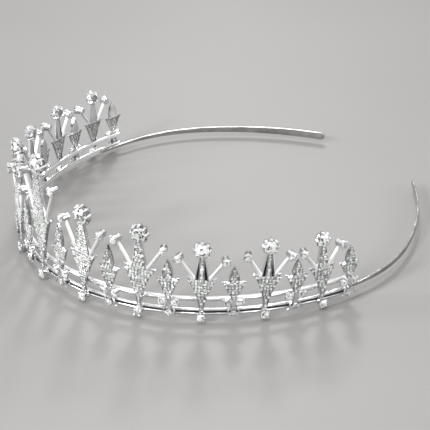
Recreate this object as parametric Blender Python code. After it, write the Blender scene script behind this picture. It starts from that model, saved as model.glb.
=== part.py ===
"""Bridal tiara: two rails, 23 stone-set ornaments and two springy head arms.

The tiara stands on its base collets with +Z up. The centre front faces -Y and
the open side faces +Y. The wearer's left is +X. All dimensions below are in
millimetres and are turned into metres when a mesh is made.
"""

import math

import bmesh
import bpy
from mathutils import Matrix, Vector

MM = 0.001
GAP = 0.25

# Plan shape: tangent arcs from the centre front round to an arm tip, as
# (radius, length along the curve). The other side is the mirror image.
PLAN_ARCS = ((62.2, 14.0), (66.8, 50.0), (88.6, 54.0), (62.5, 32.0), (106.9, 52.0))
PLAN_FRONT_Y = -71.23

# Rails
RAIL_OUT = 1.0
RAIL_END = 111.9
RAIL_STEP = 3.8
UPPER_RAIL_Z = 7.7
UPPER_RAIL_RADIUS = 0.5
LOWER_RAIL_Z = 3.05
LOWER_RAIL_HEIGHT = 2.2
LOWER_RAIL_DEPTH = 1.0
LOWER_RAIL_GROOVE = 0.35

# Head arms
ARM_LAP_START = 101.8
ARM_FLEX = 112.8
ARM_TIP = 201.3
ARM_OUT = -0.15
ARM_Z = 3.1
ARM_THICK = 0.8
ARM_ROOT_HEIGHT = 1.1
ARM_TIP_HEIGHT = 3.0
ARM_FLAT = 8.0
ARM_STEP = 3.6

# Ornaments: spacing along the plan curve and distance outside it
SPACING = 20.05
PLATE_OUT = 2.55
TALL_THICK = 1.6
SHORT_THICK = 1.4
LEAN = math.radians(1.1)

# Tall ornaments, centre first then outwards
BASE_STONE_Z = 2.2
TALL_HEIGHT = (41.4, 31.1, 29.5, 25.1, 25.2, 24.3)
CROWN_DIAMETER = (8.4, 7.4, 6.9, 6.4, 6.1, 5.9)
WING_SPAN = (13.4, 12.0, 11.3, 9.8, 9.5, 9.2)
SIDE_REACH = (9.6, 8.4, 8.3, 7.6, 7.1, 6.8)
WING_LEVEL = 0.535
SIDE_LEVEL = 0.865
TAIL_TOP_Z = 6.0
ROD_RADIUS = 0.5
SIDE_COLLET_RADIUS = 1.5
SIDE_COLLET_DEPTH = 3.0
BASE_COLLET_DEPTH = 2.0
BASE_STONE_RADIUS = 1.25
CLAWS = 6

# Short ornaments, next to the centre first then outwards
SHORT_TIP_Z = (26.2, 25.0, 23.5, 21.1, 21.2, 21.6)
SHORT_POINT_Z = 8.2
SHORT_WING_LEVEL = 0.47
SHORT_WING_SPAN = 7.7
LEAF_WIDTH = 3.7
LOBE_Z = 7.6
LOBE_X = 2.2
LOBE_RADIUS = 1.6
PETAL_Z = 3.4
PETAL_RADIUS = 1.3
LOBE_DEPTH = 1.7

# How ornaments were set by hand: turn about the upright, then tilt towards
# their left-hand end, in degrees. A tilted one is lifted by its foot's edge.
HAND_SET = {
    "tall_left_1": (-5.0, 1.2),
    "tall_left_2": (-3.0, 1.6),
    "tall_left_3": (-6.0, 0.7),
    "tall_left_4": (-3.0, 3.2),
    "tall_left_5": (-2.0, -2.0),
    "short_left_3": (-2.0, -1.4),
    "short_left_4": (-1.5, 0.8),
    "short_left_5": (-1.0, 2.6),
    "short_left_6": (-2.5, 0.0),
}
FOOT_HALF = 0.95

STONE_SIDES = 10
MERGE = 0.00002

WHITE_METAL = (0.80, 0.80, 0.82, 1.0)
STONE = (0.93, 0.95, 0.94, 1.0)


def plan_point(station):
    """Point and heading of the plan curve at a signed distance from the front."""
    side = -1.0 if station < 0.0 else 1.0
    left = abs(station)
    x = 0.0
    y = PLAN_FRONT_Y
    heading = 0.0
    for radius, length in PLAN_ARCS:
        step = min(left, length)
        turned = heading + step / radius
        x += radius * (math.sin(turned) - math.sin(heading))
        y += radius * (math.cos(heading) - math.cos(turned))
        heading = turned
        left -= step
        if left <= 0.0:
            break
    return side * x, y, side * heading


def place(station, out=0.0):
    """Matrix that stands a part on the plan curve, its front facing outwards."""
    x, y, heading = plan_point(station)
    x += math.sin(heading) * out
    y -= math.cos(heading) * out
    return Matrix.Translation((x, y, 0.0)) @ Matrix.Rotation(heading, 4, "Z")


def clear_scene():
    for item in list(bpy.data.objects):
        bpy.data.objects.remove(item, do_unlink=True)


def new_collection(name):
    group = bpy.data.collections.new(name)
    bpy.context.scene.collection.children.link(group)
    return group


def make_material(name, colour, metallic, roughness, transmission):
    material = bpy.data.materials.new(name)
    material.use_nodes = True
    shader = material.node_tree.nodes["Principled BSDF"]
    shader.inputs["Base Color"].default_value = colour
    shader.inputs["Metallic"].default_value = metallic
    shader.inputs["Roughness"].default_value = roughness
    shader.inputs["Transmission Weight"].default_value = transmission
    shader.inputs["IOR"].default_value = 2.0
    return material


def metal(item):
    item.data.materials.clear()
    item.data.materials.append(
        make_material("metal_" + item.name, WHITE_METAL, 1.0, 0.16, 0.0))


def gem(item):
    item.data.materials.clear()
    item.data.materials.append(
        make_material("stone_" + item.name, STONE, 0.0, 0.02, 0.8))


def make_object(name, points, faces, group):
    """Closed mesh from points in millimetres."""
    mesh = bpy.data.meshes.new(name)
    mesh.from_pydata([Vector(p) * MM for p in points], [], faces)
    tidy_mesh(mesh)
    item = bpy.data.objects.new(name, mesh)
    group.objects.link(item)
    return item


def tidy_mesh(mesh):
    work = bmesh.new()
    work.from_mesh(mesh)
    bmesh.ops.remove_doubles(work, verts=work.verts, dist=MERGE)
    bmesh.ops.recalc_face_normals(work, faces=work.faces)
    work.to_mesh(mesh)
    work.free()


def loft(name, rings, group):
    """Closed body through rings of equal point count, with flat ends."""
    count = len(rings[0])
    points = [point for ring in rings for point in ring]
    faces = [list(range(count))[::-1]]
    for level in range(len(rings) - 1):
        low = level * count
        for i in range(count):
            j = (i + 1) % count
            faces.append([low + i, low + j, low + count + j, low + count + i])
    last = (len(rings) - 1) * count
    faces.append([last + i for i in range(count)])
    return make_object(name, points, faces, group)


def plate(name, outline, thick, group):
    """Flat plate from an (x, z) outline, leaning outwards as it rises."""
    slope = math.tan(LEAN)
    back = [(x, thick / 2 - z * slope, z) for x, z in outline]
    front = [(x, -thick / 2 - z * slope, z) for x, z in outline]
    return loft(name, [back, front], group)


def ring(x, y, z, radii, turn=0.0):
    """Points round a circle that faces the front, one per radius given."""
    count = len(radii)
    points = []
    for i, radius in enumerate(radii):
        angle = turn + 2.0 * math.pi * i / count
        points.append((x + radius * math.sin(angle), y, z + radius * math.cos(angle)))
    return points


def rod(name, start, end, radius, sides, group):
    """Round rod between two points."""
    start = Vector(start)
    end = Vector(end)
    turn = (end - start).to_track_quat("Z", "Y")
    rings = []
    for centre in (start, end):
        loop = []
        for i in range(sides):
            angle = 2.0 * math.pi * (i + 0.5) / sides
            offset = Vector((radius * math.cos(angle), radius * math.sin(angle), 0.0))
            loop.append(centre + turn @ offset)
        rings.append(loop)
    return loft(name, rings, group)


def combine(target, tool, operation):
    """Exact Boolean of the tool into the target; the tool is removed."""
    modifier = target.modifiers.new("combine", "BOOLEAN")
    modifier.operation = operation
    modifier.solver = "EXACT"
    modifier.object = tool
    bpy.context.view_layer.update()
    graph = bpy.context.evaluated_depsgraph_get()
    mesh = bpy.data.meshes.new_from_object(target.evaluated_get(graph))
    target.modifiers.clear()
    target.data = mesh
    tidy_mesh(mesh)
    bpy.data.objects.remove(tool, do_unlink=True)


def mirrored(half):
    """Closed outline from its right half, listed from the bottom upwards."""
    return half + [(-x, z) for x, z in reversed(half)]


def sweep(name, stations, section, out, group):
    """Sweep a section along the plan curve. The section gets each station."""
    rings = []
    for station in stations:
        matrix = place(station, out)
        rings.append([matrix @ Vector((0.0, -depth, z)) for depth, z in section(station)])
    return loft(name, rings, group)


def spread(start, end, step):
    count = max(1, round(abs(end - start) / step))
    return [start + (end - start) * i / count for i in range(count + 1)]


# ---- rails ---------------------------------------------------------------

def upper_section(station):
    points = []
    for i in range(8):
        angle = 2.0 * math.pi * (i + 0.5) / 8
        depth = UPPER_RAIL_RADIUS * math.cos(angle)
        points.append((depth, UPPER_RAIL_Z + UPPER_RAIL_RADIUS * math.sin(angle)))
    return points


def lower_section(station):
    """Band with a groove along its front, so it reads as two wires."""
    half = LOWER_RAIL_HEIGHT / 2
    face = LOWER_RAIL_DEPTH / 2
    back = -face
    edge = 0.25
    return [
        (back, LOWER_RAIL_Z - half + edge),
        (back + edge, LOWER_RAIL_Z - half),
        (face - edge, LOWER_RAIL_Z - half),
        (face, LOWER_RAIL_Z - half + edge),
        (face, LOWER_RAIL_Z - edge),
        (face - LOWER_RAIL_GROOVE, LOWER_RAIL_Z),
        (face, LOWER_RAIL_Z + edge),
        (face, LOWER_RAIL_Z + half - edge),
        (face - edge, LOWER_RAIL_Z + half),
        (back + edge, LOWER_RAIL_Z + half),
        (back, LOWER_RAIL_Z + half - edge),
    ]


def build_rails(group):
    stations = spread(-RAIL_END, RAIL_END, RAIL_STEP)
    upper = sweep("upper_rail", stations, upper_section, RAIL_OUT, group)
    lower = sweep("lower_rail", stations, lower_section, RAIL_OUT, group)
    metal(upper)
    metal(lower)


# ---- head arms -----------------------------------------------------------

def arm_height(station):
    """Strip height: slender at the root, broad near the rounded tip."""
    grown = (abs(station) - ARM_LAP_START) / (ARM_TIP - ARM_LAP_START)
    rise = min(1.0, grown / 0.85)
    height = ARM_ROOT_HEIGHT + (ARM_TIP_HEIGHT - ARM_ROOT_HEIGHT) * rise
    to_tip = ARM_TIP - abs(station)
    nose = ARM_TIP_HEIGHT / 2
    if to_tip < nose:
        height *= max(0.3, math.sqrt(1.0 - (1.0 - to_tip / nose) ** 2))
    return height


def arm_section(station):
    half = arm_height(station) / 2
    face = ARM_THICK / 2
    edge = min(0.2, half * 0.4)
    return [
        (-face, ARM_Z - half + edge),
        (-face + edge, ARM_Z - half),
        (face - edge, ARM_Z - half),
        (face, ARM_Z - half + edge),
        (face, ARM_Z + half - edge),
        (face - edge, ARM_Z + half),
        (-face + edge, ARM_Z + half),
        (-face, ARM_Z + half - edge),
    ]


def build_arm(name, side, group):
    """Fixed lapped root and the free springy arm beyond it."""
    root_stations = spread(side * ARM_LAP_START, side * (ARM_FLEX - GAP / 2), ARM_STEP)
    root = sweep(name + "_root", root_stations, arm_section, ARM_OUT, group)
    metal(root)

    nose = ARM_TIP_HEIGHT / 2
    flat_start = ARM_TIP - ARM_FLAT
    stations = spread(ARM_FLEX + GAP / 2, flat_start, ARM_STEP)
    stations += [ARM_TIP - nose, ARM_TIP - nose * 0.5, ARM_TIP - nose * 0.15, ARM_TIP]
    start = place(side * flat_start, ARM_OUT)

    rings = []
    for station in stations:
        # the end of each arm is straight, so it presses flat on the head
        if station > flat_start:
            run = Matrix.Translation((side * (station - flat_start), 0.0, 0.0))
            matrix = start @ run
        else:
            matrix = place(side * station, ARM_OUT)
        points = [Vector((0.0, -depth, z)) for depth, z in arm_section(station)]
        rings.append([matrix @ point for point in points])
    arm = loft(name, rings, group)

    x, y, heading = plan_point(side * ARM_FLEX)
    pivot = Vector((x, y, ARM_Z)) * MM
    arm.data.transform(Matrix.Translation(-pivot))
    arm.location = pivot
    metal(arm)


# ---- stones --------------------------------------------------------------

def brilliant(name, x, y, z, radius, grow, group):
    """Round brilliant facing the front, its girdle in the plane y."""
    size = radius + grow
    sides = STONE_SIDES
    rings = [
        ring(x, y - 0.30 * radius - grow, z, [0.56 * size] * sides, math.pi / sides),
        ring(x, y - 0.06 * radius - grow, z, [size] * sides),
        ring(x, y + 0.02 * radius + grow, z, [size] * sides),
        ring(x, y + 0.78 * radius + grow, z, [0.10 * size] * sides),
    ]
    return loft(name, rings, group)


def set_stone(body, name, x, y, z, radius, station, group):
    """Cut the seat for a stone into a body and place the stone in it."""
    seat = brilliant("seat", x, y, z, radius, 0.12, group)
    combine(body, seat, "DIFFERENCE")
    stone = brilliant(name, x, y, z, radius, 0.0, group)
    stone.matrix_world = place_metres(body.name, station)
    gem(stone)


def place_metres(name, station):
    """Place of an ornament on the rails, with the small turn it was set at."""
    turn, tilt = (math.radians(angle) for angle in HAND_SET.get(name, (0.0, 0.0)))
    matrix = place(station, PLATE_OUT)
    matrix = matrix @ Matrix.Translation((0.0, 0.0, FOOT_HALF * abs(math.sin(tilt))))
    matrix = matrix @ Matrix.Rotation(turn, 4, "Z") @ Matrix.Rotation(tilt, 4, "Y")
    matrix.translation *= MM
    return matrix


# ---- tall ornaments ------------------------------------------------------

def tall_outline(rank):
    """Tail, concave-sided triangle, fishtail wings and tapering neck."""
    height = TALL_HEIGHT[rank]
    half_span = WING_SPAN[rank] / 2
    wing_z = BASE_STONE_Z + WING_LEVEL * height
    body = 0.88 * half_span
    neck = 0.50 * half_span
    half = [(0.55, BASE_STONE_Z + 1.2), (0.60, TAIL_TOP_Z - 1.0)]
    steps = 6
    for i in range(steps + 1):
        t = i / steps
        width = 0.75 + (body - 0.75) * (0.35 * t + 0.65 * t ** 2.2)
        half.append((width, TAIL_TOP_Z + (wing_z - 0.5 - TAIL_TOP_Z) * t))
    half += [
        (half_span - 0.35, wing_z + 0.40),
        (half_span, wing_z + 1.00),
        (half_span - 0.20, wing_z + 1.35),
        (0.78 * half_span, wing_z + 0.90),
        (1.12 * neck, wing_z + 0.95),
    ]
    neck_top = BASE_STONE_Z + height - 0.28 * CROWN_DIAMETER[rank]
    for i in range(4):
        t = i / 3
        width = neck + (1.0 - neck) * t ** 0.9
        half.append((width, wing_z + 1.1 + (neck_top - wing_z - 1.1) * t))
    return mirrored(half)


def coronet(x, y, z, radius, depth, group):
    """Claw collet: flares to the front and is scalloped between the claws."""
    lobes = []
    for i in range(CLAWS):
        lobes += [radius, 0.84 * radius]
    rings = [
        ring(x, y + depth, z, [0.52 * radius] * (2 * CLAWS)),
        ring(x, y, z, lobes),
        ring(x, y - 0.10 * radius, z, [0.96 * r for r in lobes]),
    ]
    return loft("coronet", rings, group)


def build_tall(label, station, rank, group):
    slope = math.tan(LEAN)
    height = TALL_HEIGHT[rank]
    wing_z = BASE_STONE_Z + WING_LEVEL * height
    crown_z = BASE_STONE_Z + height
    crown_radius = CROWN_DIAMETER[rank] / 2
    crown_y = -crown_z * slope - 0.1
    body = plate("tall_" + label, tall_outline(rank), TALL_THICK, group)

    # top coronet
    depth = 0.85 * crown_radius
    top = coronet(0.0, crown_y, crown_z, crown_radius, depth, group)
    combine(body, top, "UNION")

    # side collets on their rods
    side_z = BASE_STONE_Z + SIDE_LEVEL * height
    reach = SIDE_REACH[rank]
    side_y = -side_z * slope
    for side in (-1.0, 1.0):
        foot = (side * 0.19 * WING_SPAN[rank], -wing_z * slope, wing_z + 1.3)
        head = (side * reach, side_y, side_z)
        combine(body, rod("rod", foot, head, ROD_RADIUS, 6, group), "UNION")
        front = side_y - 0.5 * SIDE_COLLET_DEPTH
        back = side_y + 0.5 * SIDE_COLLET_DEPTH
        radius = SIDE_COLLET_RADIUS
        collet = loft("collet", [
            ring(side * reach, back, side_z, [0.72 * radius] * 8),
            ring(side * reach, front, side_z, [radius] * 8),
            ring(side * reach, front - 0.3, side_z, [0.8 * radius] * 8),
            ring(side * reach, front - 0.45, side_z, [0.4 * radius] * 8),
        ], group)
        combine(body, collet, "UNION")

    # base collet: eight-sided, standing on its flat lower side
    outline = mirrored([(0.95, 0.0), (1.75, 1.1), (1.75, 3.3), (0.95, 4.4)])
    base_back = TALL_THICK / 2 - 0.1
    base_front = base_back - BASE_COLLET_DEPTH
    base = loft("collet", [
        [(x, base_back, z) for x, z in outline],
        [(x, base_front, z) for x, z in outline],
    ], group)
    combine(body, base, "UNION")

    set_stone(body, "base_stone_" + label, 0.0, base_front, BASE_STONE_Z,
              BASE_STONE_RADIUS, station, group)
    set_stone(body, "crown_stone_" + label, 0.0, crown_y - 0.10 * crown_radius, crown_z,
              0.72 * crown_radius, station, group)
    body.matrix_world = place_metres(body.name, station)
    metal(body)


# ---- short ornaments -----------------------------------------------------

def short_outline(tip_z):
    """Stem, triangle, small wings and a leaf that ends in a point."""
    rise = tip_z - SHORT_POINT_Z
    wing_z = SHORT_POINT_Z + SHORT_WING_LEVEL * rise
    leaf_low = wing_z + 0.9
    half_span = SHORT_WING_SPAN / 2
    half_leaf = LEAF_WIDTH / 2
    half = [
        (0.45, PETAL_Z),
        (0.45, SHORT_POINT_Z),
        (1.45, SHORT_POINT_Z + 0.25 * rise),
        (0.72 * half_span, wing_z - 0.35),
        (half_span - 0.25, wing_z + 0.30),
        (half_span, wing_z + 0.75),
        (0.60 * half_span, wing_z + 0.65),
        (1.35, leaf_low),
        (half_leaf, leaf_low + 0.30 * (tip_z - leaf_low)),
        (0.80 * half_leaf, leaf_low + 0.55 * (tip_z - leaf_low)),
        (0.40 * half_leaf, leaf_low + 0.80 * (tip_z - leaf_low)),
        (0.10, tip_z),
    ]
    return mirrored(half)


def build_short(label, station, rank, group):
    slope = math.tan(LEAN)
    body = plate("short_" + label, short_outline(SHORT_TIP_Z[rank]), SHORT_THICK, group)
    lobes = (
        (-LOBE_X, LOBE_Z, LOBE_RADIUS),
        (LOBE_X, LOBE_Z, LOBE_RADIUS),
        (0.0, PETAL_Z, PETAL_RADIUS),
    )
    back = SHORT_THICK / 2 - 0.15 - LOBE_Z * slope
    for x, z, radius in lobes:
        lobe = loft("lobe", [
            ring(x, back, z, [0.8 * radius] * 8, math.pi / 8),
            ring(x, back - LOBE_DEPTH, z, [radius] * 8, math.pi / 8),
            ring(x, back - LOBE_DEPTH - 0.35, z, [0.55 * radius] * 8, math.pi / 8),
        ], group)
        combine(body, lobe, "UNION")
    bridge = rod("bridge", (-LOBE_X, back - 0.8, LOBE_Z), (LOBE_X, back - 0.8, LOBE_Z),
                 0.5, 6, group)
    combine(body, bridge, "UNION")
    body.matrix_world = place_metres(body.name, station)
    metal(body)


# ---- assembly ------------------------------------------------------------

clear_scene()
tiara = new_collection("bridal_tiara")
build_rails(tiara)
build_arm("left_arm", 1.0, tiara)
build_arm("right_arm", -1.0, tiara)
build_tall("centre", 0.0, 0, tiara)
for rank in range(1, len(TALL_HEIGHT)):
    build_tall("left_%d" % rank, rank * SPACING, rank, tiara)
    build_tall("right_%d" % rank, -rank * SPACING, rank, tiara)
for rank in range(len(SHORT_TIP_Z)):
    build_short("left_%d" % (rank + 1), (rank + 0.5) * SPACING, rank, tiara)
    build_short("right_%d" % (rank + 1), -(rank + 0.5) * SPACING, rank, tiara)
bpy.context.view_layer.update()
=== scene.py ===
"""Looks of the bridal tiara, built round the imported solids.

All sizes are in millimetres until a mesh is made; the camera, lamps and floor
are in metres. In an ornament's own frame x runs along the rail, -y faces
outwards from the head and z is up. A station is a length along the plan curve
from the front, positive on the wearer's left.
"""

import math
import random

import bmesh
import bpy
from mathutils import Matrix, Vector


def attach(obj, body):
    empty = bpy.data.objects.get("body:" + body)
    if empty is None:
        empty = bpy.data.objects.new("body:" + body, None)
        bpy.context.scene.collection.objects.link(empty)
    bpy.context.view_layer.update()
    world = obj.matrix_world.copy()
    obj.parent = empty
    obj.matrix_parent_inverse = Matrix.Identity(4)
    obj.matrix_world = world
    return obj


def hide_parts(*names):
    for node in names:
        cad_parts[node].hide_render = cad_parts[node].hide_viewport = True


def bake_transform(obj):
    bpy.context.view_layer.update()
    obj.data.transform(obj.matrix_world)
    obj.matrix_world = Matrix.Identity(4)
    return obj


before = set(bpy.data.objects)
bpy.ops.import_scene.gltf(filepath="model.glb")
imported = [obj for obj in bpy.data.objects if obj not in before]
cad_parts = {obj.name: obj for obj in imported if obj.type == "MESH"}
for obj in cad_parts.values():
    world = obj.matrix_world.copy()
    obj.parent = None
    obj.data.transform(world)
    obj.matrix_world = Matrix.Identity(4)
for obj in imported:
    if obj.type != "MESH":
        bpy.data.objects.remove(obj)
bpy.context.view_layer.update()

MM = 0.001

# ---- plan of the frame, as in the solid model ----------------------------

PLAN_ARCS = ((62.2, 14.0), (66.8, 50.0), (88.6, 54.0), (62.5, 32.0), (106.9, 52.0))
PLAN_FRONT_Y = -71.23
RAIL_OUT = 1.0
RAIL_END = 111.9
UPPER_RAIL_Z = 7.7
LOWER_RAIL_Z = 3.05
ARM_OUT = -0.15
ARM_START = 101.8
ARM_FLEX = 112.8
ARM_TIP = 201.3
ARM_Z = 3.1
SPACING = 20.05
PLATE_OUT = 2.55
SLOPE = math.tan(math.radians(1.1))

# Tall ornaments, centre first then outwards
BASE_Z = 2.2
TALL_HEIGHT = (41.4, 31.1, 29.5, 25.1, 25.2, 24.3)
CROWN_DIAMETER = (8.4, 7.4, 6.9, 6.4, 6.1, 5.9)
WING_SPAN = (13.4, 12.0, 11.3, 9.8, 9.5, 9.2)
SIDE_REACH = (9.6, 8.4, 8.3, 7.6, 7.1, 6.8)
NECK_TOP_HALF = (1.5, 1.35, 1.05, 0.98, 0.98, 0.98)
TAIL_HALF = 0.62
WING_LEVEL = 0.535
SIDE_LEVEL = 0.865
TAIL_END = 4.6

# Short ornaments, next to the centre first then outwards
SHORT_TIP = (26.2, 25.0, 23.5, 21.1, 21.2, 21.6)
SHORT_POINT = 8.2
LOBE_Z = 7.6
LOBE_X = 2.2
LOBE_R = 1.65

# How ornaments were set by hand, as in the solid model: turn, then tilt
HAND_SET = {
    "tall_left_1": (-5.0, 1.2),
    "tall_left_2": (-3.0, 1.6),
    "tall_left_3": (-6.0, 0.7),
    "tall_left_4": (-3.0, 3.2),
    "tall_left_5": (-2.0, -2.0),
    "short_left_3": (-2.0, -1.4),
    "short_left_4": (-1.5, 0.8),
    "short_left_5": (-1.0, 2.6),
    "short_left_6": (-2.5, 0.0),
}
FOOT_HALF = 0.95

# Depths of the plates, front to back, and the bright rim left round pave
TALL_FRONT = -0.80
TALL_BACK = 0.45
SHORT_FRONT = -0.70
SHORT_BACK = 0.40
TALL_COLUMN_FRONT = -1.00
SHORT_COLUMN_FRONT = -0.95
PAVE_RIM = 0.13
PAVE_MARGIN = 0.15
COLUMN_RIM = 0.12

# Settings
SIDE_COLLET_R = 1.56
BASE_COLLET_R = 1.70
PETAL_R = 1.32
COLLET_FACE = -1.62
SIDE_COLLET_TURN = 14.0
CROWN_Y = -0.2
CROWN_RIBS = 8
KNOB_CLAWS = 4
DIAGONAL = math.pi / 4.0

# Head arms
ARM_HALF_THICK = 0.4
ARM_ROOT_HEIGHT = 1.1
ARM_GROWTH = 1.9
ARM_ROUNDING = 1.5
ARM_FLAT_TIP = 8.0

# Pave
STONE_PITCH = 1.00
WIDEST_PITCH = 1.15 * STONE_PITCH
ROW_PITCH = 1.02
ROW_SHIFT = 0.25
NARROWEST_ROW = 0.55
STONE_R = 0.57
STONE_TIP = 0.22
BEAD_R = 0.19

# Places in an ornament's list of materials
PAVE_KIND = 1
DARK_KIND = 2
SIDE_KIND = 3
BRIGHT_KIND = 4

# Edges sharper than these angles stay crisp
ORNAMENT_SHARP = 32.0
RAIL_SHARP = 40.0
ARM_SHARP = 35.0


def plan_point(station):
    """Point and heading on the plan curve, a chain of arcs from the front."""
    side = -1.0 if station < 0.0 else 1.0
    left = abs(station)
    x = 0.0
    y = PLAN_FRONT_Y
    heading = 0.0
    for radius, length in PLAN_ARCS:
        step = min(left, length)
        turned = heading + step / radius
        x += radius * (math.sin(turned) - math.sin(heading))
        y += radius * (math.cos(heading) - math.cos(turned))
        heading = turned
        left -= step
        if left <= 0.0:
            break
    return side * x, y, side * heading


def point_beside(station, out):
    """Point at a distance outside the plan curve, and its heading."""
    x, y, heading = plan_point(station)
    x += math.sin(heading) * out
    y -= math.cos(heading) * out
    return x, y, heading


def place(station, out=0.0):
    x, y, heading = point_beside(station, out)
    return Matrix.Translation((x, y, 0.0)) @ Matrix.Rotation(heading, 4, "Z")


def place_ornament(name, station):
    turn, tilt = (math.radians(angle) for angle in HAND_SET.get(name, (0.0, 0.0)))
    matrix = place(station, PLATE_OUT)
    matrix = matrix @ Matrix.Translation((0.0, 0.0, FOOT_HALF * abs(math.sin(tilt))))
    return matrix @ Matrix.Rotation(turn, 4, "Z") @ Matrix.Rotation(tilt, 4, "Y")


# ---- camera --------------------------------------------------------------

def add_camera():
    azimuth = 0.923575
    elevation = 0.496182
    roll = 0.009177
    distance = 0.496675
    aim = Vector((-2.25, 0.92, 0.0)) * MM
    back = Vector((
        math.sin(azimuth) * math.cos(elevation),
        -math.cos(azimuth) * math.cos(elevation),
        math.sin(elevation),
    ))
    data = bpy.data.cameras.new("camera")
    data.sensor_width = 36.0
    data.lens = 110.3
    data.clip_start = 0.01
    data.clip_end = 20.0
    camera = bpy.data.objects.new("camera", data)
    bpy.context.scene.collection.objects.link(camera)
    turn = back.to_track_quat("Z", "Y").to_matrix().to_4x4()
    turn = turn @ Matrix.Rotation(roll, 4, "Z")
    camera.matrix_world = Matrix.Translation(aim + back * distance) @ turn
    bpy.context.scene.camera = camera


# ---- materials -----------------------------------------------------------

# Share of its brightness that the painted shade on undersides leaves to metal facing down
UNDERSIDE_SHADE_SHARE = 0.22


class Nodes:
    """Small helper for wiring one material."""

    def __init__(self, name):
        self.material = bpy.data.materials.new(name)
        self.material.use_nodes = True
        self.tree = self.material.node_tree
        self.shader = self.tree.nodes["Principled BSDF"]

    def add(self, kind, **values):
        node = self.tree.nodes.new(kind)
        for key, value in values.items():
            if key in node.inputs:
                node.inputs[key].default_value = value
            else:
                setattr(node, key, value)
        return node

    def link(self, start, end):
        self.tree.links.new(start, end)

    def set(self, **values):
        for key, value in values.items():
            self.shader.inputs[key.replace("_", " ")].default_value = value

    def coords(self):
        return self.add("ShaderNodeTexCoord").outputs["Object"]

    def noise(self, scale, detail=3.0):
        node = self.add("ShaderNodeTexNoise", Scale=scale, Detail=detail)
        self.link(self.coords(), node.inputs["Vector"])
        return node.outputs["Fac"]

    def ramp(self, source, stops):
        node = self.add("ShaderNodeValToRGB")
        elements = node.color_ramp.elements
        while len(elements) < len(stops):
            elements.new(0.5)
        for element, (position, value) in zip(elements, stops):
            element.position = position
            colour = value if isinstance(value, tuple) else (value, value, value)
            element.color = (*colour, 1.0)
        self.link(source, node.inputs["Fac"])
        return node.outputs["Color"]

    def upward(self):
        """0 where the surface faces down, 1 where it faces up."""
        split = self.add("ShaderNodeSeparateXYZ")
        self.link(self.add("ShaderNodeNewGeometry").outputs["Normal"], split.inputs["Vector"])
        node = self.add("ShaderNodeMath", operation="MULTIPLY_ADD")
        node.inputs[1].default_value = 0.5
        node.inputs[2].default_value = 0.5
        self.link(split.outputs["Z"], node.inputs[0])
        return node.outputs["Value"]

    def multiply(self, one, two):
        node = self.add("ShaderNodeMix", data_type="RGBA", blend_type="MULTIPLY")
        node.inputs[0].default_value = 1.0
        self.link(one, node.inputs[6])
        self.link(two, node.inputs[7])
        return node.outputs[2]

    def bump(self, height, strength, distance):
        node = self.add("ShaderNodeBump", Strength=strength, Distance=distance)
        self.link(height, node.inputs["Height"])
        self.link(node.outputs["Normal"], self.shader.inputs["Normal"])


def metal_material(name, light, dark, rough_low, rough_high, bump):
    """Polished metal, with painted shade that darkens the undersides."""
    nodes = Nodes(name)
    nodes.set(Metallic=1.0)
    tone = nodes.ramp(nodes.noise(260.0), ((0.3, dark), (0.65, light)))
    # painted shade: darker where the surface faces down
    underside_shade = nodes.ramp(nodes.upward(), ((0.10, UNDERSIDE_SHADE_SHARE), (0.36, 1.0)))
    nodes.link(nodes.multiply(tone, underside_shade), nodes.shader.inputs["Base Color"])
    rough = nodes.ramp(nodes.noise(900.0), ((0.3, rough_low), (0.7, rough_high)))
    nodes.link(rough, nodes.shader.inputs["Roughness"])
    nodes.bump(nodes.noise(1500.0, 5.0), bump, 0.00005)
    return nodes.material


def stone_material(name):
    """Bright facets with dark flecks as painted reflections, and some stones duller than
    others, partly their own tint and partly painted sparkle.
    """
    nodes = Nodes(name)
    nodes.set(Roughness=0.03, IOR=2.2, Transmission_Weight=0.05)
    geometry = nodes.add("ShaderNodeNewGeometry")
    facet = nodes.add("ShaderNodeTexWhiteNoise", noise_dimensions="4D")
    nodes.link(geometry.outputs["True Normal"], facet.inputs["Vector"])
    nodes.link(geometry.outputs["Random Per Island"], facet.inputs["W"])
    # light or dark tone for each facet: painted reflections
    tone = nodes.ramp(facet.outputs["Value"], (
        (0.0, (0.03, 0.032, 0.03)), (0.13, (0.09, 0.095, 0.09)), (0.24, (0.42, 0.43, 0.42)),
        (0.50, (0.66, 0.68, 0.665)), (0.85, (0.90, 0.91, 0.90))))
    dull = nodes.ramp(geometry.outputs["Random Per Island"], (
        (0.0, (0.58, 0.60, 0.585)), (0.40, (0.92, 0.93, 0.92)), (0.7, (1.0, 1.0, 1.0))))
    nodes.link(nodes.multiply(tone, dull), nodes.shader.inputs["Base Color"])
    return nodes.material


def floor_material():
    nodes = Nodes("pale_floor")
    tone = nodes.ramp(nodes.noise(6.0), (
        (0.3, (0.200, 0.196, 0.193)), (0.7, (0.215, 0.211, 0.207))))
    nodes.link(tone, nodes.shader.inputs["Base Color"])
    nodes.set(Roughness=0.55)
    return nodes.material


METAL = metal_material("polished_white_metal", (0.86, 0.86, 0.865), (0.62, 0.62, 0.63),
                       0.10, 0.26, 0.10)
STRIP = metal_material("arm_white_metal", (0.52, 0.51, 0.50), (0.32, 0.31, 0.31),
                       0.08, 0.20, 0.10)
# Darker copy of the metal for the ground between pave stones, the backs of trays and the petal:
# painted shade
PAVE = metal_material("pave_ground", (0.34, 0.34, 0.34), (0.12, 0.12, 0.12),
                      0.25, 0.45, 0.35)
# Darker copy of the metal for the outer edges of trays, the coronet cups and the short wings:
# painted shade
SIDE = metal_material("setting_side", (0.52, 0.52, 0.53), (0.34, 0.34, 0.35),
                      0.12, 0.28, 0.20)
BRIGHT = metal_material("satin_wire", (0.98, 0.98, 0.98), (0.86, 0.86, 0.86),
                        0.42, 0.56, 0.10)
# Near-black metal for the neck webs, the leaf grounds and the groove of the lower rail: painted
# shade
DARK = metal_material("painted_shade_ground", (0.035, 0.035, 0.035), (0.012, 0.012, 0.012),
                      0.35, 0.55, 0.35)
STONES = stone_material("old_cut_stones")
ORNAMENT_METALS = (METAL, PAVE, DARK, SIDE, BRIGHT)


# ---- mesh builder --------------------------------------------------------

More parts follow.
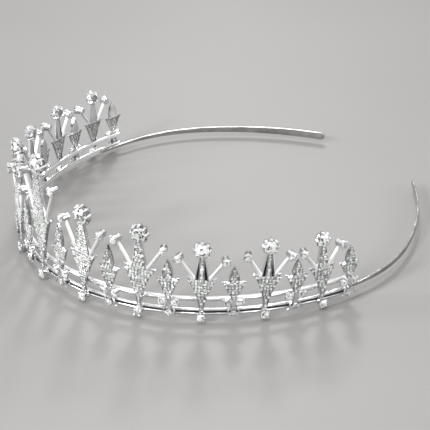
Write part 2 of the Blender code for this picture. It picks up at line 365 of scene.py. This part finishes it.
class Shape:
    """Collects closed shells in an ornament's own frame."""

    def __init__(self):
        self.points = []
        self.faces = []
        self.kinds = []

    def add(self, points, faces, kind=0):
        base = len(self.points)
        self.points += [tuple(p) for p in points]
        self.faces += [[base + i for i in face] for face in faces]
        self.kinds += [kind] * len(faces)

    def loft(self, rings, kind=0):
        """Skin over rings of equally many points, closed at both ends."""
        count = len(rings[0])
        points = [point for ring in rings for point in ring]
        faces = []
        for level in range(len(rings) - 1):
            low = level * count
            for i in range(count):
                j = (i + 1) % count
                faces.append((low + i, low + j, low + count + j, low + count + i))
        faces.append(tuple(range(count))[::-1])
        last = (len(rings) - 1) * count
        faces.append(tuple(last + i for i in range(count)))
        self.add(points, faces, kind)

    def tube(self, path, radii, sides=8, kind=0):
        """Round tube through points, one radius for each point."""
        path = [Vector(p) for p in path]
        if not isinstance(radii, (list, tuple)):
            radii = [radii] * len(path)
        rings = []
        side = None
        for i, point in enumerate(path):
            ahead = path[min(i + 1, len(path) - 1)] - path[max(i - 1, 0)]
            ahead.normalize()
            if side is None:
                side = ahead.orthogonal().normalized()
            side = (side - ahead * side.dot(ahead)).normalized()
            other = ahead.cross(side)
            loop = []
            for k in range(sides):
                angle = 2.0 * math.pi * k / sides
                offset = side * math.cos(angle) + other * math.sin(angle)
                loop.append(point + offset * radii[i])
            rings.append(loop)
        self.loft(rings, kind)

    def ball(self, centre, radius, sides=8):
        x, y, z = centre
        levels = max(3, sides // 2)
        rings = []
        for level in range(levels):
            angle = math.pi * (level + 0.5) / levels
            across = radius * math.sin(angle)
            rings.append([
                (x + across * math.cos(2.0 * math.pi * k / sides),
                 y - radius * math.cos(angle),
                 z + across * math.sin(2.0 * math.pi * k / sides))
                for k in range(sides)
            ])
        self.loft(rings)

    def plate(self, outline, back, front, chamfer, kind=0):
        """Flat plate with chamfered edges."""
        small = inset(outline, chamfer)
        self.loft([
            at_depth(small, back),
            at_depth(outline, back - chamfer),
            at_depth(outline, front + chamfer),
            at_depth(small, front),
        ], kind)

    def tray(self, outline, back, front, rim, recess, hollow=0.0,
             ground=PAVE_KIND, behind=PAVE_KIND):
        """Plate whose front is sunk inside a bright rim, ready for stones."""
        edge = min(0.12, rim * 0.4)
        lip = inset(outline, edge)
        inner = inset(outline, rim)
        floor = inset(outline, rim + 0.06)
        self.loft([
            at_depth(inset(outline, 0.40), back - hollow),
            at_depth(inset(outline, 0.36), back),
            at_depth(inset(outline, 0.15), back),
            at_depth(outline, back - 0.15),
            at_depth(outline, front + edge),
            at_depth(lip, front),
            at_depth(inner, front),
            at_depth(floor, front + recess),
        ], 0)
        walls = len(outline)
        self.kinds[-1] = ground
        self.kinds[-2] = behind
        # the outer edge is the fourth of the seven bands of walls
        start = len(self.kinds) - 2 - 4 * walls
        # the outer edge takes the darker side metal, as painted shade
        self.kinds[start:start + walls] = [SIDE_KIND] * walls

    def gem(self, centre, radius, sides=8, fine=False, tilt=(0.0, 0.0)):
        """Old-cut round stone that faces the front, with a small table if fine."""
        x, y, z = centre
        half = math.pi / sides
        rows = [(0.50, -0.34, 0.0), (0.80, -0.20, half)]
        if fine:
            rows = [(0.30, -0.36, 0.0), (0.62, -0.30, half), (0.86, -0.17, 0.0)]
        rows += [(1.0, -0.02, half if fine else 0.0), (1.0, 0.05, half if fine else 0.0),
                 (0.55, 0.36, 0.0), (0.08, 0.62, half)]
        rings = []
        for reach, depth, turn in rows:
            ring = []
            for k in range(sides):
                px = reach * radius * math.sin(turn + 2.0 * math.pi * k / sides)
                pz = reach * radius * math.cos(turn + 2.0 * math.pi * k / sides)
                ring.append((x + px, y + depth * radius + tilt[0] * px + tilt[1] * pz, z + pz))
            rings.append(ring)
        self.loft(rings)

    def make(self, name, matrix, materials, sharp, body="tiara"):
        """Object in metres, smooth up to the sharp angle, or flat if that is 0."""
        mesh = bpy.data.meshes.new(name)
        points = []
        for x, y, z in self.points:
            points.append(matrix @ Vector((x, y, z)) * MM)
        mesh.from_pydata(points, [], self.faces)
        for material in materials:
            mesh.materials.append(material)
        mesh.polygons.foreach_set("material_index", self.kinds)
        if sharp:
            mesh.polygons.foreach_set("use_smooth", [True] * len(self.faces))
            mesh.set_sharp_from_angle(angle=math.radians(sharp))
        mesh.update()
        item = bpy.data.objects.new(name, mesh)
        bpy.context.scene.collection.objects.link(item)
        fix_normals(mesh)
        if body:
            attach(item, body)
        return item


def fix_normals(mesh):
    work = bmesh.new()
    work.from_mesh(mesh)
    bmesh.ops.recalc_face_normals(work, faces=work.faces)
    work.to_mesh(mesh)
    work.free()


def at_depth(outline, y):
    return [(x, y, z) for x, z in outline]


def inset(outline, distance):
    """Moves an anticlockwise (x, z) outline inwards."""
    count = len(outline)
    moved = []
    for i in range(count):
        before = Vector(outline[i - 1])
        here = Vector(outline[i])
        after = Vector(outline[(i + 1) % count])
        one = (here - before).normalized()
        two = (after - here).normalized()
        n1 = Vector((-one.y, one.x))
        n2 = Vector((-two.y, two.x))
        scale = max(0.3, 1.0 + n1.dot(n2))
        moved.append(tuple(here + (n1 + n2) * (distance / scale)))
    return moved


def closed(half):
    """Whole outline from its right half, bottom to top."""
    return half + [(-x, z) for x, z in reversed(half) if x > 1e-6]


def lean(shape):
    shape.points = [(x, y - z * SLOPE, z) for x, y, z in shape.points]


def width_at(half, z):
    """Half width of an outline at a height, from its right half."""
    best = 0.0
    for (x0, z0), (x1, z1) in zip(half, half[1:]):
        if min(z0, z1) <= z <= max(z0, z1) and abs(z1 - z0) > 1e-6:
            best = max(best, x0 + (x1 - x0) * (z - z0) / (z1 - z0))
    return best


def swing(shape, start, x, y, degrees):
    """Turns the points from start onwards about the upright line at x, y."""
    cos = math.cos(math.radians(degrees))
    sin = math.sin(math.radians(degrees))
    for i in range(start, len(shape.points)):
        px, py, pz = shape.points[i]
        px -= x
        py -= y
        shape.points[i] = (x + px * cos - py * sin, y + px * sin + py * cos, pz)


def cup(shape, x, z, profile, sides=16, kind=0):
    """Turned cup that faces the front, from (radius, y) pairs."""
    rings = []
    for reach, y in profile:
        rings.append([(x + reach * math.sin(2.0 * math.pi * k / sides), y,
                       z + reach * math.cos(2.0 * math.pi * k / sides))
                      for k in range(sides)])
    shape.loft(rings, kind)


def pave(metal, stones, half, low, high, front, margin, rng):
    """Rows of small stones, uneven as in old hand-set work, with beads between."""
    rows = max(1, round((high - low) / ROW_PITCH))
    for row in range(rows + 1):
        z = low + (high - low) * row / rows
        room = 2.0 * (width_at(half, z) - margin)
        count = int(room / STONE_PITCH)
        if count < 1:
            if room < NARROWEST_ROW:
                continue
            count = 1
        pitch = min(room / count, WIDEST_PITCH)
        shift = (ROW_SHIFT if row % 2 else -ROW_SHIFT) if count > 1 else 0.0
        for i in range(count):
            x = (i - (count - 1) / 2.0 + shift) * pitch
            size = min(0.54 * pitch, STONE_R) * rng.uniform(0.88, 1.10)
            stones.gem((x + rng.uniform(-0.07, 0.07), front + 0.06,
                        z + rng.uniform(-0.09, 0.09)), size, 7,
                       tilt=(rng.uniform(-STONE_TIP, STONE_TIP),
                             rng.uniform(-STONE_TIP, STONE_TIP)))
        for i in range(count + 1):
            x = (i - count / 2.0 + shift) * pitch
            bead = (x, front - 0.02, z + rng.uniform(-0.12, 0.12))
            if abs(x) < 0.5 * room:
                metal.ball(bead, BEAD_R * rng.uniform(0.7, 1.1), 6)


def pave_behind(stones, half, low, high, y, margin):
    """Points of the pave stones, as the open back of a plate shows them."""
    rows = max(1, round((high - low) / ROW_PITCH))
    for row in range(rows + 1):
        z = low + (high - low) * row / rows
        room = 2.0 * (width_at(half, z) - margin)
        count = int(room / STONE_PITCH)
        for i in range(count):
            x = (i - (count - 1) / 2.0) * room / count
            cup(stones, x, z, ((0.06, y + 0.34), (0.40, y), (0.40, y - 0.1)), 7)


def knob_setting(metal, stones, centre, radius, ball, turn=DIAGONAL):
    """Stone that nearly fills its collet, under short claws folded over its edge."""
    x, y, z = centre
    for i in range(KNOB_CLAWS):
        angle = turn + 2.0 * math.pi * i / KNOB_CLAWS
        path = []
        for reach, back in ((0.90, 0.95), (1.00, 0.30), (0.94, -0.06), (0.80, -0.26)):
            path.append((x + math.sin(angle) * reach * radius, y + back,
                         z + math.cos(angle) * reach * radius))
        metal.tube(path, [0.6 * ball, 0.9 * ball, ball, 0.8 * ball], 6)
        metal.ball(path[-1], ball, 8)
    stones.gem((x, y, z), 0.86 * radius, 8, fine=True)


def ribbed_setting(metal, stones, centre, radius, depth):
    """Coronet of thick round ribs, close together, that holds a large stone."""
    x, y, z = centre
    # cup in the darker side metal, as painted shade
    cup(metal, x, z, ((0.40 * radius, y + 1.05 * depth), (0.55 * radius, y + 0.95 * depth),
                      (0.70 * radius, y + 0.30 * depth), (0.74 * radius, y + 0.05 * depth)),
        20, SIDE_KIND)
    thick = 0.80 * math.pi * radius / CROWN_RIBS
    for i in range(CROWN_RIBS):
        angle = 2.0 * math.pi * i / CROWN_RIBS
        path = []
        for reach, back in ((0.50, 1.08), (0.64, 0.72), (0.76, 0.30), (0.80, 0.02),
                            (0.77, -0.20)):
            path.append((x + math.sin(angle) * reach * radius, y + depth * back,
                         z + math.cos(angle) * reach * radius))
        metal.tube(path, [share * thick for share in (0.50, 0.74, 0.86, 0.84, 0.55)], 8)
        end = path[-1]
        metal.ball((end[0], end[1] - 0.05, end[2]), 0.62 * thick, 8)
    stones.gem((x, y - 0.14 * radius, z), 0.77 * radius, 8, fine=True)


def tall_half(rank):
    """Right side of the pave triangle, from the tail up to the wings."""
    wing_z = BASE_Z + WING_LEVEL * TALL_HEIGHT[rank]
    body = 0.88 * WING_SPAN[rank] / 2.0
    half = []
    steps = 8
    for i in range(steps + 1):
        t = i / steps
        half.append((TAIL_HALF + (body - TAIL_HALF) * (0.38 * t + 0.62 * t ** 2.1),
                     TAIL_END + (wing_z + 0.30 - TAIL_END) * t))
    return half, wing_z, body


def mirrored(points, side):
    """Anticlockwise outline of a part drawn for the right, on either side."""
    if side > 0.0:
        return points
    return [(-x, z) for x, z in reversed(points)]


def rail_posts(metal, upper_radii, lower_radii):
    """Solder posts back to the two rails."""
    low = LOWER_RAIL_Z + 0.5
    metal.tube([(0.0, 0.2, UPPER_RAIL_Z), (0.0, 1.45, UPPER_RAIL_Z)], upper_radii, 10)
    metal.tube([(0.0, 0.0, low), (0.0, 1.3, low)], lower_radii, 10)


def build_tall(label, station, rank):
    """Tall ornament: rank 0 is the centre, and ranks grow outwards."""
    rng = random.Random(100 + rank)
    metal = Shape()
    stones = Shape()
    height = TALL_HEIGHT[rank]
    half_span = WING_SPAN[rank] / 2.0
    crown_r = CROWN_DIAMETER[rank] / 2.0
    crown_z = BASE_Z + height
    half, wing_z, body = tall_half(rank)

    # pave triangle in its rimmed tray
    neck = (0.60 if rank < 2 else 0.50) * half_span
    neck_end = NECK_TOP_HALF[rank]
    outline = half + [(0.93 * body, wing_z + 0.55), (neck, wing_z + 0.9)]
    metal.tray(closed(outline), TALL_BACK, TALL_FRONT, PAVE_RIM, 0.30, 0.5)
    pave(metal, stones, outline, TAIL_END + 0.7, wing_z + 0.25, TALL_FRONT, PAVE_MARGIN, rng)
    pave_behind(stones, outline, TAIL_END + 1.6, wing_z + 0.25, TALL_BACK - 0.5, 0.55)

    # fishtail wings: the corners of the back plate
    for side in (-1.0, 1.0):
        wing = [
            (0.66 * half_span, wing_z + 0.30),
            (0.90 * half_span, wing_z + 0.30),
            (half_span + 0.05, wing_z + 0.80),
            (half_span + 0.10, wing_z + 1.25),
            (half_span - 0.20, wing_z + 1.55),
            (0.78 * half_span, wing_z + 1.22),
            (0.52 * half_span, wing_z + 1.15),
            (0.50 * half_span, wing_z + 0.60),
        ]
        metal.plate(mirrored(wing, side), 0.47, -0.05, 0.14)

    # neck: a deep triangular frame round a raised stone-set column, with a near-black web
    # inside it as painted shade
    neck_top = crown_z - 0.62 * crown_r
    neck_low = wing_z + 0.55
    thick = 0.34
    for side in (-1.0, 1.0):
        wall = []
        steps = 5
        for i in range(steps + 1):
            t = i / steps
            wall.append((neck + (neck_end - neck) * t ** 0.92,
                         neck_low + (neck_top - neck_low) * t))
        wall += [(x - thick, z) for x, z in reversed(wall)]
        metal.plate(mirrored(wall, side), 0.42, -0.75, 0.1)
    if rank in (3, 4):
        column = (1.05, 0.92, 0.72)
    else:
        column = (neck - 0.42, 0.55 * (neck + neck_end) - 0.36, neck_end - 0.30)
    column = list(zip(column, (neck_low - 0.4, neck_low + 0.45 * (neck_top - neck_low),
                               neck_top + 0.2)))
    metal.tray(closed(column), 0.40, TALL_COLUMN_FRONT, COLUMN_RIM, 0.25, behind=0)
    pave(metal, stones, column, neck_low + 0.2, neck_top - 0.4, TALL_COLUMN_FRONT, COLUMN_RIM,
         rng)
    # near-black web across the open frame: painted shade
    web = [(neck - 0.2, neck_low), (neck_end - 0.18, neck_top)]
    metal.plate(closed(web), 0.20, 0.0, 0.02, DARK_KIND)

    # crown stone in its coronet
    depth = 0.62 * crown_r
    ribbed_setting(metal, stones, (0.0, CROWN_Y, crown_z), 0.98 * crown_r, depth)
    metal.tube([(0.0, 0.0, neck_top - 0.4),
                (0.0, CROWN_Y + 0.5 * depth, crown_z - 0.45 * crown_r)],
               [0.85, 0.65], 10)

    # rods and side collets, which are turned a little outwards
    side_z = BASE_Z + SIDE_LEVEL * height
    for side in (-1.0, 1.0):
        foot = Vector((side * (neck - 0.15), 0.0, wing_z + 0.9))
        head = Vector((side * SIDE_REACH[rank], 0.15, side_z))
        metal.tube([foot, foot.lerp(head, 0.5), head], [0.68, 0.64, 0.66], 10, BRIGHT_KIND)
        first_metal = len(metal.points)
        first_stone = len(stones.points)
        cup(metal, head.x, head.z, ((0.7, 1.9), (1.15, 1.75), (1.30, 1.4), (1.22, 0.4),
                                    (1.42, -0.1), (1.50, -1.35), (1.32, -1.55)))
        knob_setting(metal, stones, (head.x, COLLET_FACE, head.z), SIDE_COLLET_R, 0.32)
        swing(metal, first_metal, head.x, 0.15, side * SIDE_COLLET_TURN)
        swing(stones, first_stone, head.x, 0.15, side * SIDE_COLLET_TURN)

    # tail: two blades that close in a V on the base collet
    for side in (-1.0, 1.0):
        blade = [
            (0.20, 3.9),
            (0.62, 3.9),
            (1.02, TAIL_END + 1.6),
            (1.30, TAIL_END + 3.6),
            (1.05, TAIL_END + 3.6),
            (0.70, TAIL_END + 1.2),
        ]
        metal.plate(mirrored(blade, side), 0.42, -0.6, 0.08)

    # base collet
    base_z = BASE_Z + 0.1
    cup(metal, 0.0, base_z, ((1.20, 1.05), (1.30, 0.80), (0.95, 0.20), (1.05, -0.45),
                             (1.55, -1.15), (1.65, -1.55)))
    knob_setting(metal, stones, (0.0, COLLET_FACE, base_z), BASE_COLLET_R, 0.36)
    rail_posts(metal, (0.5, 0.62), (0.8, 0.7))

    lean(metal)
    lean(stones)
    matrix = place_ornament("tall_" + label, station)
    item = metal.make("tall_setting_" + label, matrix, ORNAMENT_METALS, ORNAMENT_SHARP)
    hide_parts("tall_" + label)
    item = stones.make("tall_stones_" + label, matrix, (STONES,), 0.0)
    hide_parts("crown_stone_" + label, "base_stone_" + label)


def build_short(label, station, rank):
    """Short ornament: rank 0 is next to the centre, and ranks grow outwards."""
    rng = random.Random(200 + rank)
    metal = Shape()
    stones = Shape()
    tip = SHORT_TIP[rank]
    wing_z = SHORT_POINT + 0.47 * (tip - SHORT_POINT)
    rise = wing_z - SHORT_POINT
    top = tip - wing_z

    # pave triangle
    kite = [
        (0.35, SHORT_POINT - 0.2),
        (1.25, SHORT_POINT + 0.26 * rise),
        (1.98, SHORT_POINT + 0.51 * rise),
        (2.68, SHORT_POINT + 0.78 * rise),
        (3.40, wing_z + 0.25),
        (3.20, wing_z + 0.50),
        (1.50, wing_z + 0.75),
    ]
    metal.tray(closed(kite), SHORT_BACK, SHORT_FRONT, PAVE_RIM, 0.30, 0.4)
    pave(metal, stones, kite, SHORT_POINT + 0.8, wing_z + 0.15, SHORT_FRONT, PAVE_MARGIN, rng)
    pave_behind(stones, kite, SHORT_POINT + 1.4, wing_z + 0.15, 0.0, 0.50)

    # leaf: a pointed frame round a raised stone-set column, with a near-black ground inside as
    # painted shade; the column hides nearly all of that ground except on the third and fourth
    leaf = [
        (1.40, wing_z + 0.04 * top),
        (1.75, wing_z + 0.20 * top),
        (1.86, wing_z + 0.36 * top),
        (1.62, wing_z + 0.54 * top),
        (1.08, wing_z + 0.73 * top),
        (0.52, wing_z + 0.88 * top),
        (0.0, tip),
    ]
    metal.tray(closed(leaf), SHORT_BACK, -0.75, 0.24, 0.55, 0.1, DARK_KIND, 0)
    wide = 1.0 if rank in (2, 3) else 1.16
    column = [
        (1.20 * wide, wing_z - 0.1),
        (1.42 * wide, wing_z + 0.34 * top),
        (1.12 * wide, wing_z + 0.56 * top),
        (0.66 * wide, wing_z + 0.74 * top),
        (0.28 * wide, wing_z + 0.87 * top),
    ]
    metal.tray(closed(column), 0.0, SHORT_COLUMN_FRONT, COLUMN_RIM, 0.25)
    pave(metal, stones, column, wing_z + 0.6, wing_z + 0.80 * top, SHORT_COLUMN_FRONT, 0.08,
         rng)

    for side in (-1.0, 1.0):
        wing = [
            (2.5, wing_z + 0.05),
            (3.3, wing_z + 0.05),
            (3.84, wing_z + 0.52),
            (3.84, wing_z + 0.80),
            (3.1, wing_z + 0.85),
            (1.9, wing_z + 0.80),
            (1.9, wing_z + 0.40),
        ]
        # wings in the darker side metal, as painted shade
        metal.plate(mirrored(wing, side), SHORT_BACK, 0.10, 0.10, SIDE_KIND)

    # trefoil: two side stones, then the curled claws of the petal
    for side in (-1.0, 1.0):
        x = side * LOBE_X
        cup(metal, x, LOBE_Z, ((0.65, 0.5), (1.0, 0.25), (1.15, -0.75)), 14)
        knob_setting(metal, stones, (x, -0.85, LOBE_Z), LOBE_R, 0.32)
        path = [(side * 0.30, -0.25, 6.2), (side * 0.95, -0.55, 5.7), (side * 1.65, -0.8, 4.8),
                (side * 2.05, -0.95, 3.8), (side * 2.30, -1.0, 3.1), (side * 2.62, -1.0, 2.75)]
        metal.tube(path, [0.30, 0.30, 0.30, 0.28, 0.26, 0.24], 8)
        metal.tube([(side * 0.15, -0.35, 5.9), (side * 0.60, -0.75, 4.9),
                    (side * 0.95, -0.95, 3.7), (side * 1.02, -1.0, 2.8)],
                   [0.2, 0.2, 0.2, 0.24], 8)
    # lower petal, in the darker pave metal as painted shade
    petal = [(0.30, 5.6), (-0.30, 5.6), (-0.95, 4.1), (-1.05, 3.0), (-0.6, 2.1), (0.6, 2.1),
             (1.05, 3.0), (0.95, 4.1)]
    metal.plate(petal, 0.3, -0.55, 0.15, PAVE_KIND)
    knob_setting(metal, stones, (0.0, -0.8, 3.30), PETAL_R, 0.28, 0.0)
    # stem
    metal.tube([(0.0, 0.0, SHORT_POINT + 0.6), (0.0, -0.1, 6.6), (0.0, 0.0, 3.4)],
               [0.55, 0.62, 0.5], 8)
    rail_posts(metal, (0.5, 0.6), (0.7, 0.6))

    lean(metal)
    lean(stones)
    matrix = place_ornament("short_" + label, station)
    item = metal.make("short_setting_" + label, matrix, ORNAMENT_METALS, ORNAMENT_SHARP)
    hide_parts("short_" + label)
    item = stones.make("short_stones_" + label, matrix, (STONES,), 0.0)


# ---- rails and arms ------------------------------------------------------

RAIL_STEPS = 240
# Length over which the lower wire dips at an ornament
DIP_LENGTH = 1.6


def wire_along(shape, z, out, radius, end, dips=0.0, kind=0):
    """Round wire along the plan curve, dipping at each ornament if asked."""
    path = []
    for i in range(RAIL_STEPS + 1):
        station = -end + 2.0 * end * i / RAIL_STEPS
        x, y, _ = point_beside(station, out)
        place_in_row = station / (SPACING / 2.0)
        away = (place_in_row - round(place_in_row)) * SPACING / 2.0
        near = math.exp(-(away / DIP_LENGTH) ** 2)
        path.append((x, y, z - dips * near))
    shape.tube(path, radius, 12, kind)


def band_along(shape, z, out, height, thick, end, kind):
    """Flat upright strip with rounded edges, along the plan curve."""
    rings = []
    for i in range(RAIL_STEPS + 1):
        matrix = place(-end + 2.0 * end * i / RAIL_STEPS, out)
        loop = []
        for side in (1.0, -1.0):
            for k in range(5):
                angle = math.pi * k / 4.0
                rise = 0.5 * (height - thick) + 0.5 * thick * math.sin(angle)
                loop.append((0.5 * thick * side * math.cos(angle), side * rise))
        rings.append([matrix @ Vector((0.0, y, z + dz)) for y, dz in loop])
    shape.loft(rings, kind)


def build_rails():
    upper = Shape()
    wire_along(upper, UPPER_RAIL_Z, RAIL_OUT, 0.66, RAIL_END)
    for side in (-1.0, 1.0):
        x, y, _ = point_beside(side * RAIL_END, RAIL_OUT)
        upper.ball((x, y, UPPER_RAIL_Z), 0.64, 12)
    band_along(upper, UPPER_RAIL_Z, RAIL_OUT - 0.55, 1.70, 0.22, RAIL_END, 1)
    item = upper.make("upper_rail_wire", Matrix.Identity(4), (METAL, BRIGHT), RAIL_SHARP)
    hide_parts("upper_rail")

    lower = Shape()
    wire_along(lower, LOWER_RAIL_Z + 0.67, RAIL_OUT, 0.51, RAIL_END)
    wire_along(lower, LOWER_RAIL_Z - 0.74, RAIL_OUT + 0.10, 0.47, RAIL_END, 0.10)
    # thin near-black wire in the groove between the two wires: painted shade
    wire_along(lower, LOWER_RAIL_Z, RAIL_OUT - 0.05, 0.36, RAIL_END, kind=1)
    band_along(lower, LOWER_RAIL_Z, RAIL_OUT - 0.36, 2.15, 0.22, RAIL_END, 2)
    item = lower.make("lower_rail_wires", Matrix.Identity(4), (METAL, DARK, BRIGHT), RAIL_SHARP)
    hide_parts("lower_rail")


def arm_height(station):
    """Height of the strip, which grows towards the tip and ends rounded."""
    grown = (abs(station) - ARM_START) / (ARM_TIP - ARM_START)
    height = ARM_ROOT_HEIGHT + ARM_GROWTH * min(1.0, grown / 0.85)
    to_tip = ARM_TIP - abs(station)
    if to_tip < ARM_ROUNDING:
        height *= math.sqrt(max(0.02, 1.0 - (1.0 - to_tip / ARM_ROUNDING) ** 2))
    return height


def build_arm(name, side):
    """Springy strip from the tiara's body round the plan curve to the arm's tip, straight at
    the end.
    """
    shape = Shape()
    even_part = ARM_TIP - ARM_ROUNDING - ARM_START
    stations = [ARM_START + even_part * i / 90 for i in range(91)]
    stations += [ARM_TIP - ARM_ROUNDING * (1.0 - math.sin(math.pi / 2 * k / 6))
                 for k in range(1, 7)]
    # the last stretch is straight
    flat_start = ARM_TIP - ARM_FLAT_TIP
    rings = []
    for station in stations:
        if station > flat_start:
            matrix = place(side * flat_start, ARM_OUT)
            matrix = matrix @ Matrix.Translation((side * (station - flat_start), 0.0, 0.0))
        else:
            matrix = place(side * station, ARM_OUT)
        half = arm_height(station) / 2.0
        edge = min(0.22, half * 0.5)
        y_side = ARM_HALF_THICK - edge
        z_side = half - edge
        loop = []
        for cy, cz, first in ((y_side, z_side, 0), (-y_side, z_side, 1),
                              (-y_side, -z_side, 2), (y_side, -z_side, 3)):
            for k in range(4):
                angle = math.pi / 2.0 * (first + k / 3.0)
                loop.append((cy + edge * math.cos(angle), cz + edge * math.sin(angle)))
        rings.append([matrix @ Vector((0.0, y, ARM_Z + z)) for y, z in loop])
    shape.loft(rings)
    item = shape.make(name + "_strip", Matrix.Identity(4), (STRIP,), ARM_SHARP, None)
    start = place(side * (ARM_FLEX - 2.0)).translation * MM
    end = place(side * (ARM_FLEX + 16.0)).translation * MM
    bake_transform(item)
    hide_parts(name, name + "_root")


# ---- studio --------------------------------------------------------------

FLOOR_HALF = 3.0
SKY_STRENGTH = 1.02
LAMP_AIM = (0.0, 0.0, 0.02)
# Name, place, size and power
LAMPS = (
    ("key", (0.12, -0.78, 0.48), (0.14, 0.14), 5.5),
    ("fill", (0.80, -0.15, 0.35), (0.10, 0.16), 1.0),
    ("inner", (0.62, 0.52, 0.30), (0.10, 0.16), 1.6),
    ("top", (0.15, -0.20, 0.90), (0.14, 0.14), 2.5),
    ("side", (-0.35, -0.70, 0.36), (0.10, 0.16), 3.2),
    ("back", (-0.55, 0.45, 0.55), (0.14, 0.14), 2.5),
)


def add_light(name, at, size, power):
    """Soft lamp that faces the tiara."""
    data = bpy.data.lights.new(name, "AREA")
    data.shape = "RECTANGLE"
    data.size = size[0]
    data.size_y = size[1]
    data.energy = power
    lamp = bpy.data.objects.new(name, data)
    bpy.context.scene.collection.objects.link(lamp)
    lamp.location = at
    ahead = Vector(LAMP_AIM) - Vector(at)
    lamp.rotation_euler = ahead.to_track_quat("-Z", "Y").to_euler()


def add_studio():
    """Plain pale floor, a sky that is dark low down and white above, and the lamps."""
    half = FLOOR_HALF
    mesh = bpy.data.meshes.new("floor")
    mesh.from_pydata([(-half, -half, 0.0), (half, -half, 0.0), (half, half, 0.0),
                      (-half, half, 0.0)], [], [(0, 1, 2, 3)])
    mesh.materials.append(floor_material())
    floor = bpy.data.objects.new("floor", mesh)
    bpy.context.scene.collection.objects.link(floor)

    world = bpy.data.worlds.new("studio")
    world.use_nodes = True
    tree = world.node_tree
    background = tree.nodes["Background"]
    coords = tree.nodes.new("ShaderNodeTexCoord")
    split = tree.nodes.new("ShaderNodeSeparateXYZ")
    ramp = tree.nodes.new("ShaderNodeValToRGB")
    ramp.color_ramp.elements[0].position = 0.07
    ramp.color_ramp.elements[0].color = (0.01, 0.01, 0.011, 1.0)
    ramp.color_ramp.elements[1].position = 0.28
    ramp.color_ramp.elements[1].color = (1.0, 1.0, 1.0, 1.0)
    tree.links.new(coords.outputs["Generated"], split.inputs["Vector"])
    tree.links.new(split.outputs["Z"], ramp.inputs["Fac"])
    tree.links.new(ramp.outputs["Color"], background.inputs["Color"])
    background.inputs["Strength"].default_value = SKY_STRENGTH
    bpy.context.scene.world = world
    bpy.context.scene.view_settings.view_transform = "Standard"

    for lamp in LAMPS:
        add_light(*lamp)


add_camera()
build_rails()
build_arm("left_arm", 1.0)
build_arm("right_arm", -1.0)
build_tall("centre", 0.0, 0)
for number in range(1, len(TALL_HEIGHT)):
    build_tall("left_%d" % number, number * SPACING, number)
    build_tall("right_%d" % number, -number * SPACING, number)
for number in range(len(SHORT_TIP)):
    build_short("left_%d" % (number + 1), (number + 0.5) * SPACING, number)
    build_short("right_%d" % (number + 1), -(number + 0.5) * SPACING, number)
add_studio()
